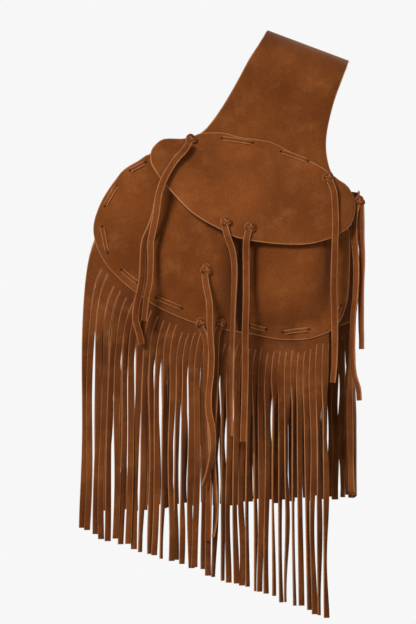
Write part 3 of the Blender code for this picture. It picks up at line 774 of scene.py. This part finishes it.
def suede(name, dark, middle, light, fold_shade=False):
    """Napped suede: large and small blotches of brushed nap, a fine grain and a soft sheen; for the
    pouch, painted shade in its crease too.
    """
    made = bpy.data.materials.new(name)
    made.use_nodes = True
    tree = made.node_tree
    shader = tree.nodes["Principled BSDF"]
    where = tree.nodes.new("ShaderNodeTexCoord").outputs["Object"]

    def grain(scale, detail, rough=0.55, stretch=None):
        node = tree.nodes.new("ShaderNodeTexNoise")
        for socket, value in (("Scale", scale), ("Detail", detail), ("Roughness", rough)):
            node.inputs[socket].default_value = value
        source = where
        if stretch:
            move = tree.nodes.new("ShaderNodeMapping")
            move.inputs["Scale"].default_value = stretch
            tree.links.new(where, move.inputs["Vector"])
            source = move.outputs["Vector"]
        tree.links.new(source, node.inputs["Vector"])
        return node.outputs["Fac"]

    large, patches = grain(13, 4), grain(42, 5, 0.6)
    brushed = grain(150, 4, 0.6, (1, 1, 0.45))
    fine, hairs = grain(900, 3), grain(2600, 2)
    colour = mix(tree, spread(tree, large, 0.36, 0.66), (*dark, 1), (*middle, 1))
    colour = mix(tree, spread(tree, patches, 0.5, 0.75, 0, 0.55), colour, (*light, 1))
    colour = mix(tree, spread(tree, brushed, 0.52, 0.72, 0, 0.3), colour, (*dark, 1))
    # Painted shade: the crease between the pouch's lobes, and a band round it, darkened towards
    # near black
    if fold_shade:
        colour = mix(tree, fold_shade_mask(tree, where), colour, (*FOLD_SHADE_COLOUR, 1))
    tone = spread(tree, fine, 0.3, 0.7, 0.78, 1.20)
    shade = tree.nodes.new("ShaderNodeCombineColor")
    for socket in shade.inputs[:3]:
        tree.links.new(tone, socket)
    colour = mix(tree, 1.0, colour, shade.outputs[0], "MULTIPLY")
    tree.links.new(colour, shader.inputs["Base Color"])
    tree.links.new(spread(tree, patches, 0.3, 0.7, 0.98, 0.86), shader.inputs["Roughness"])
    shader.inputs["Specular IOR Level"].default_value = 0.08
    shader.inputs["Sheen Weight"].default_value = SHEEN
    shader.inputs["Sheen Roughness"].default_value = 0.45
    shader.inputs["Sheen Tint"].default_value = (1.0, 0.72, 0.5, 1)
    height = None
    for source, strength, deep in ((brushed, 0.25, 0.6 * MM), (fine, NAP, 0.3 * MM),
                                   (hairs, NAP, 0.12 * MM)):
        bump = tree.nodes.new("ShaderNodeBump")
        bump.inputs["Strength"].default_value = strength
        bump.inputs["Distance"].default_value = deep
        tree.links.new(source, bump.inputs["Height"])
        if height:
            tree.links.new(height, bump.inputs["Normal"])
        height = bump.outputs["Normal"]
    tree.links.new(height, shader.inputs["Normal"])
    return made


def plain(name, colour, roughness):
    """One even colour."""
    made = bpy.data.materials.new(name)
    made.use_nodes = True
    shader = made.node_tree.nodes["Principled BSDF"]
    shader.inputs["Base Color"].default_value = (*colour, 1)
    shader.inputs["Roughness"].default_value = roughness
    shader.inputs["Specular IOR Level"].default_value = 0.1
    return made


# The camera, the light and the floor

def camera():
    """The photograph's view: far off, level, one pixel for each PIXEL on CAMERA_PLANE."""
    data = bpy.data.cameras.new("camera")
    data.sensor_width = 36
    data.lens = 36 * CAMERA_FAR / (FRAME_HEIGHT * PIXEL)
    made = bpy.data.objects.new("camera", data)
    made.location = (MIDDLE[0], CAMERA_PLANE - CAMERA_FAR, MIDDLE[1])
    made.rotation_euler = (math.pi / 2, 0, 0)
    bpy.context.collection.objects.link(made)
    bpy.context.scene.camera = made


def lamp(name, place, target, size, power):
    """A round lamp that points at the target."""
    data = bpy.data.lights.new(name, "AREA")
    data.shape, data.size, data.energy = "DISK", size, power
    made = bpy.data.objects.new(name, data)
    made.location = place
    made.rotation_euler = (Vector(target) - Vector(place)).to_track_quat("-Z", "Y").to_euler()
    bpy.context.collection.objects.link(made)


def studio():
    """A pale room: white behind, soft light all round, a large lamp high on the left."""
    scene = bpy.context.scene
    scene.view_settings.view_transform = "Standard"
    world = bpy.data.worlds.new("studio")
    scene.world = world
    world.use_nodes = True
    tree = world.node_tree
    seen = tree.nodes.new("ShaderNodeLightPath").outputs["Is Camera Ray"]
    back = tree.nodes["Background"]
    tree.links.new(mix(tree, seen, (0.25, 0.25, 0.25, 1), (0.93, 0.93, 0.93, 1)),
                   back.inputs["Color"])
    for name, (place, size, power) in LAMPS.items():
        lamp(name, place, LIT_PLACE, size, power)
    bpy.ops.mesh.primitive_plane_add(size=50, location=(0, 0, FLOOR_LEVEL))
    floor = bpy.context.object
    floor.name = "floor"
    pale = plain("floor", (0.86, 0.86, 0.85), 0.8)
    tree = pale.node_tree
    seen = tree.nodes.new("ShaderNodeLightPath").outputs["Is Camera Ray"]
    shader = tree.nodes["Principled BSDF"]
    shader.inputs["Emission Color"].default_value = (1, 1, 1, 1)
    tree.links.new(spread(tree, seen, 0, 1, 0, FLOOR_GLOW), shader.inputs["Emission Strength"])
    floor.data.materials.append(pale)
    floor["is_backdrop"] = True


# The hanging thongs

def line_length(points):
    """The length of a line through the points."""
    return sum((b - a).length for a, b in zip(points, points[1:]))


def turned(points, turns, facing=Vector((0, -1, 0))):
    """The up side of a strap at each point: facing outwards, turned about the line."""
    ups = []
    count = len(points)
    for i in range(count):
        along = (points[min(i + 1, count - 1)] - points[max(i - 1, 0)]).normalized()
        up = (facing - along * facing.dot(along)).normalized()
        share = i / (count - 1)
        first, middle, last = turns
        if share < 0.5:
            angle = first + (middle - first) * smooth(share * 2)
        else:
            angle = middle + (last - middle) * smooth(share * 2 - 1)
        angle = math.radians(angle)
        ups.append(up * math.cos(angle) + along.cross(up) * math.sin(angle))
    return ups


def hanging_thong(node, route, body, mats, start=Vector()):
    """A strap along its route, turned about its line."""
    points = through([start + Vector(p) for p in in_metres(route)], FINE_STEP)
    parts = [strap(points, turned(points, THONG_TURNS[node]), THONG_WIDE, THONG_THICK,
                   THONG_CUT)]
    made = joined_up("dressed_" + node, parts, mats)
    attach(made, body)
    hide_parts(node)
    tuple(points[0])
    round(line_length(points), 3)
    [tuple(p) for p in points]


# The sheets of suede

def ripple(u, v, seed, scale=16):
    """Low waves in the hang of a sheet."""
    return noise.noise(Vector((u * scale, v * scale, seed)))


def wavy_sheet(x, along):
    """The big sheet, with the slight waves of worn suede away from the shoulder."""
    worn = smooth(abs(along) / RIPPLE_START)
    place = sheet_point(x, along)
    lean = Vector((0, -1, 0)) if along >= 0 else Vector((0.4, 0.9, 0))
    return place + lean * RIPPLE * worn * ripple(x, along, 3)


def off_wavy(x, z, out, front=True):
    """The place at x and z that lies out from the middle of the wavy sheet."""
    u, v = at_height(x, z, front)
    return wavy_sheet(u, v) + outward(sheet_point, u, v, front) * out


def on_band(x, z, out=0.0, front=True):
    """The middle of the fringe's band, or the place that lies out from it."""
    return off_wavy(x, z, SUEDE / 2 + CLEAR + FRINGE_SUEDE / 2 + out, front)


def gathers(x, z):
    """Small puckers where the panel is drawn in along its laced edge."""
    above = z - height_on(BOTTOM, x)
    near = smooth(above / GATHER_START) * (1 - smooth((above - GATHER_FULL) / GATHER_FADE))
    return GATHER * near * (0.5 + 0.5 * math.sin(x * 260 + 2.2 * math.sin(z * 60)))


def pouch_skin(x, z):
    """The front panel, puffed over its lobes, with soft dents and puckers."""
    puff = pouch_puff(x, z)
    share = min(1.0, puff / DENT_FROM_PUFF)
    puff += gathers(x, z) + share * DENT * ripple(x, z, 8, 26)
    return off_wavy(x, z, SUEDE + FRINGE_SUEDE + 2 * CLEAR + max(0.0, puff))


def margin_skin(x, z):
    """The laced upper margin of the flap, on the sheet."""
    return off_wavy(x, z, SUEDE + CLEAR)


def flap_skin(x, z):
    """The whole flap: laced to the sheet above its fold, hanging from it below."""
    below = on_flap(x, z)[1]
    waves = RIPPLE * smooth(below / FLAP_RIPPLE_START) * (1 + ripple(x, z, 5, 22))
    hang = flap_surface(x, z, waves - SUEDE / 2)
    return margin_skin(x, z).lerp(hang, smooth((below + FOLD_BEND) / (2 * FOLD_BEND)))


def stand_for(made, body, nodes):
    """Ride the body, in the place of the CAD's nodes."""
    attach(made, body)
    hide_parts(*nodes)


def sheet_corners(step):
    """The big sheet's outline, cut flat: round its front half, then round its back half."""
    runs = [FRONT_LEFT_SIDE, POUCH_EDGE, FRONT_RIGHT_SIDE, BACK_ARM_SIDE[::-1],
            BACK_NECK_SIDE[::-1]]
    corners = []
    for number, run in enumerate(runs):
        places = through(in_metres(run), step)[:-1]
        corners += [at_height(p.x, p.y, number < 3) for p in places]
    return corners


def shoulder_sheet(mats):
    """The big sheet over the shoulder, which is also the pouch's back wall."""
    outline = through(sheet_corners(WIDE_STEP), FINE_STEP, closed=True)
    made = cut_sheet("dressed_shoulder_sheet", outline, 6 * MM, wavy_sheet, mats)
    stand_for(made, "root", ["shoulder_sheet"])
    return made


def pouch_front(mats):
    """The pouch's front panel."""
    edge = through(in_metres(POUCH_EDGE), FINE_STEP)[:-1]
    mouth = through(in_metres(POUCH_MOUTH), FINE_STEP)[:-1]
    made = cut_sheet("dressed_pouch_front", edge + mouth, 4 * MM, pouch_skin, mats)
    stand_for(made, "root", ["pouch_front"])


def flap(mats):
    """The flap, in one piece with its laced margin; it bends at the fold."""
    rim = through(in_metres(FLAP_EDGE), FINE_STEP)[:-1]
    arch = through(in_metres(FLAP_ARCH), FINE_STEP)[::-1][:-1]
    made = cut_sheet("dressed_flap", rim + arch, 4 * MM, flap_skin, mats)
    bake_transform(made)
    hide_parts("flap_leaf", "flap_margin")


# The fringes

def strip_shape(rng):
    """One strip's own way of hanging."""
    pick = rng.random()
    low, high = (-44, -20) if pick < 0.62 else (-16, 10) if pick < 0.84 else (-66, -48)
    turn = rng.uniform(low, high)
    return {"turn": math.radians(turn), "open": rng.uniform(0.10, 0.34),
            "drift": rng.uniform(-2.2, 2.2) * MM, "sway": rng.uniform(0.4, 1.3) * MM,
            "phase": rng.uniform(0, 6.3), "waves": rng.uniform(5, 12),
            "twist": rng.uniform(0.12, 0.4), "lift": rng.uniform(0, 2.0) * MM,
            "end": rng.uniform(-3, 3) * MM}


def fan(row):
    """How far a strip has moved sideways from its head to its foot."""
    return FAN_SHARE * (1 - math.exp(-row / FAN_SOON)) + (1 - FAN_SHARE) * row


def full_head(row):
    """How much wider a strip is just below its head, so that it touches its neighbours."""
    return HEAD_FULL * math.exp(-((row - HEAD_FULL_AT) / HEAD_FULL_SPAN) ** 2)


def comb(name, slits, ends, count, top, place, seed, mats):
    """A fringe: a band whose lower part is cut into strips that hang each in its own way."""
    rng = random.Random(seed)
    (x0, z0), (x1, z1) = ends
    start, stop = slits[0][0], slits[-1][0]
    pitch = (stop - start) / count
    tops, unders, cells, kinds = [], [], [], []
    band = [0, 0.5, 1]
    deep = len(band) + STRIP_ROWS
    uneven = [rng.uniform(-HEAD_UNEVEN, HEAD_UNEVEN) for _ in range(count + 1)]
    for strip in range(count):
        shape = strip_shape(rng)
        middle = start + (strip + 0.5) * pitch
        foot = x0 + (x1 - x0) * (strip + 0.5) / count
        finish = z0 + (z1 - z0) * (strip + 0.5) / count + shape["end"]
        half = (pitch - STRIP_GAP) / 2
        columns = (-half, FRINGE_CUT - half, half - FRINGE_CUT, half)
        for number, offset in enumerate(columns):
            x = middle + offset
            head = height_on(slits, x) + uneven[strip + (1 if number > 1 else 0)]
            for row in band:
                z = top(x) + (head - top(x)) * row
                tops.append(place(x, z, FRINGE_SUEDE / 2))
                unders.append(place(x, z, -FRINGE_SUEDE / 2))
            for step in range(1, STRIP_ROWS + 1):
                row = step / STRIP_ROWS
                grown = smooth(row * 4)
                wave = math.sin(shape["phase"] + shape["waves"] * row)
                curl = (shape["turn"] * smooth((row - HEAD_FLAT) / shape["open"])
                        + shape["twist"] * grown * wave)
                centre = (middle + (foot - middle) * fan(row) + shape["drift"] * row ** 1.5
                          + shape["sway"] * wave * grown
                          + HEAD_LEAN * (math.exp(-row / HEAD_LEAN_SOON) - 1 + row))
                out = (shape["lift"] + (STRIP_STEP_OUT if strip % 2 else 0)) * grown
                out += STRIP_SWELL * math.sin(shape["phase"] * 2 + 5 * row) * grown
                z = head * (1 - row) + finish * row
                at = place(centre, z, out)
                side = place(centre + NEAR, z, out) - place(centre - NEAR, z, out)
                side.normalize()
                down = place(centre, z - NEAR, out) - place(centre, z + NEAR, out)
                face = down.cross(side).normalized()
                across = side * math.cos(curl) + face * math.sin(curl)
                up = face * math.cos(curl) - side * math.sin(curl)
                thick = FRINGE_SUEDE * (STRAP_LIP if number in (0, 3) else FULL)
                reach = offset * (1 + STRIP_WIDEN * row + full_head(row))
                tops.append(at + across * reach + up * thick)
                unders.append(at + across * reach - up * thick)
        base = strip * 4 * deep
        for c in range(3):
            a, b = base + c * deep, base + (c + 1) * deep
            for r in range(deep - 1):
                cells.append((a + r, b + r, b + r + 1, a + r + 1))
                kinds.append(1 if c != 1 and r >= len(band) - 1 else 0)
        if strip:
            a, b = base - deep, base
            for r in range(len(band) - 1):
                cells.append((a + r, b + r, b + r + 1, a + r + 1))
                kinds.append(0)
    return shell(name, tops, unders, cells, kinds, mats)


def front_fringe(mats):
    """The fringe whose band is held between the panel and the sheet."""
    slits = [tuple(p) for p in through(in_metres(FRONT_SLITS), FINE_STEP)]
    edge = sorted((p.x, p.y) for p in through(in_metres(POUCH_EDGE[3:]), FINE_STEP))

    def top(x):
        return max(height_on(edge, x + NEAR) + HEM, height_on(slits, x) + HEM / 2)

    made = comb("dressed_front_fringe", slits, (FRONT_LEFT_END, FRONT_RIGHT_END), FRONT_STRIPS,
                top, on_band, 7, mats)
    stand_for(made, "root", ["front_fringe"])


def back_fringe(mats):
    """The fringe laced on the outside of the sheet's back half."""
    slits = [tuple(p) for p in through(in_metres(BACK_SLITS), FINE_STEP)]
    tops = [tuple(p) for p in through(in_metres(BACK_BAND_TOP), FINE_STEP)]

    def place(x, z, out):
        return on_band(x, z, out, False)

    made = comb("dressed_back_fringe", slits, (BACK_LEFT_END, BACK_RIGHT_END), BACK_STRIPS,
                lambda x: height_on(tops, x), place, 23, mats)
    stand_for(made, "root", ["back_fringe"])


# The lacing and the knots

def hole(place, out, across):
    """A small punched hole: a low disc flush with the suede, coloured near black as painted shade
    for the hole's inside.
    """
    side = out.cross(across).normalized()
    rings = [(HOLE, -0.5 * MM), (HOLE, 0.12 * MM), (HOLE * 0.6, 0.16 * MM)]
    count = HOLE_SIDES
    points = [place + (across * math.cos(t) + side * math.sin(t)) * r + out * h
              for r, h in rings for t in (k * 2 * math.pi / count for k in range(count))]
    faces = [(a + k, a + (k + 1) % count, a + count + (k + 1) % count, a + count + k)
             for a in (0, count) for k in range(count)]
    faces += [tuple(range(count - 1, -1, -1)), tuple(range(2 * count, 3 * count))]
    return points, faces, [2] * len(faces)


def lacing(name, runs, surface, front, mats):
    """The visible runs of a running stitch, each sinking into a punched hole at both ends."""
    parts = []
    for run in runs:
        a, b = (Vector(p) for p in in_metres(run))
        points, ups = [], []
        for k in range(RUN_STEPS + 1):
            share = k / RUN_STEPS
            x, z = a.lerp(b, share)
            out = outward(surface, x, z, front)
            rise = RUN_RISE * math.sin(math.pi * share) ** 0.5
            sink = RUN_SINK * max(0.0, abs(share - 0.5) * 2 - RUN_LEVEL) / (1 - RUN_LEVEL)
            lift = SUEDE / 2 + CLEAR + LACE_THICK / 2 + rise - sink
            points.append(surface(x, z) + out * lift)
            ups.append(out)
        parts.append(strap(points, ups, LACE_WIDE, LACE_THICK, THONG_CUT))
        reach = (points[-1] - points[0]).normalized()
        for end, sign in ((0, -1), (-1, 1)):
            out = ups[end]
            seat = points[end] + reach * sign * MM
            level = (seat - surface(*(a if end == 0 else b))).dot(out)
            seat += out * (SUEDE / 2 - level)
            flat = (reach - out * reach.dot(out)).normalized()
            parts.append(hole(seat, out, flat))
    made = joined_up("dressed_" + name, parts, mats)
    nodes = [f"{name}_{number}" for number in range(1, len(runs) + 1)]
    stand_for(made, "root", nodes)


def knot(node, seat, out, body, mats):
    """An overhand knot of the flat thong, pulled tight on the suede."""
    across = Vector((1, 0, 0)) - out * out.x
    across.normalize()
    down = across.cross(out).normalized()
    lean = math.radians(KNOT_LEANS[node])
    points, ups = [], []
    for k in range(KNOT_STEPS):
        t = 2 * math.pi * k / KNOT_STEPS
        px = (math.sin(t) + 2 * math.sin(2 * t)) * KNOT_TURN * KNOT_STRETCH
        py = (math.cos(t) - 2 * math.cos(2 * t)) * KNOT_TURN * KNOT_PINCH
        px, py = (px * math.cos(lean) - py * math.sin(lean),
                  px * math.sin(lean) + py * math.cos(lean))
        rise = KNOT_RISE - math.sin(3 * t) * KNOT_WEAVE
        radial = (across * px + down * py).normalized()
        points.append(seat + across * px + down * py + out * rise)
        ups.append((out + radial * KNOT_TILT).normalized())
    parts = [strap(points, ups, KNOT_WIDE, KNOT_THICK, KNOT_CUT, True)]
    made = joined_up("dressed_" + node, parts, mats, 60)
    stand_for(made, body, [node])


def knot_on(node, place, surface, body, mats):
    """A knot pulled down on a piece of suede."""
    x, z = (value * MM for value in place)
    out = outward(surface, x, z)
    knot(node, surface(x, z) + out * (SUEDE / 2 + CLEAR), out, body, mats)


def knots(mats):
    """Every knot, on the piece that it is tied on."""
    knot_on("flap_left_knot", FLAP_LEFT_KNOT, flap_skin, "flap", mats)
    knot_on("flap_right_knot", FLAP_RIGHT_KNOT, flap_skin, "flap", mats)
    for number, place in enumerate(TIE_KNOTS, 1):
        knot_on(f"tie_knot_{number}", place, flap_skin, "flap", mats)
    knot_on("pouch_knot", POUCH_KNOT, pouch_skin, "root", mats)
    for number, place in enumerate(EDGE_KNOTS, 1):
        knot_on(f"edge_knot_{number}", place, pouch_skin, "root", mats)
    knot("side_knot", side_seat(), Vector((0, -1, 0)), "root", mats)


def back_band(x, z):
    """The back fringe's band, which the back lacing runs on."""
    return on_band(x, z, front=False)


def main():
    camera()
    # The pouch's suede carries painted shade in the crease between its lobes
    edge, panel, strips, lace, leaf, front = (
        suede(name, *tones, fold_shade=name == "pouch_suede_crease_shade") for name, tones in SUEDES.items())
    # Near black: painted shade standing in for the insides of the punched holes
    dark = plain("hole", (0.012, 0.006, 0.003), 0.9)
    for node, route in FLAP_THONGS.items():
        hanging_thong(node, route, "flap", [lace, edge])
    for node, route in POUCH_THONGS.items():
        hanging_thong(node, route, "root", [lace, edge])
    side = side_seat() - Vector((0, CLEAR + KNOT * KNOT_SQUASH, 0))
    for node, route in SIDE_THONGS.items():
        hanging_thong(node, route, "root", [lace, edge], side)
    studio()
    sheet = shoulder_sheet([panel, edge])
    # The fringes' suede is darkened partly as painted shade among the strips
    front_fringe([strips, edge])
    back_fringe([strips, edge])
    pouch_front([front, edge])
    flap([leaf, edge])
    lacing("edge_lacing", EDGE_RUNS, pouch_skin, True, [lace, edge, dark])
    lacing("flap_lacing", FLAP_RUNS, margin_skin, True, [lace, edge, dark])
    lacing("back_lacing", BACK_RUNS, back_band, False, [lace, edge, dark])
    knots([lace, edge])


main()

boxes = {"cad": CAD_BOX, "visual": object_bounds()}
{name: [list(corner) for corner in box] for name, box in boxes.items()}
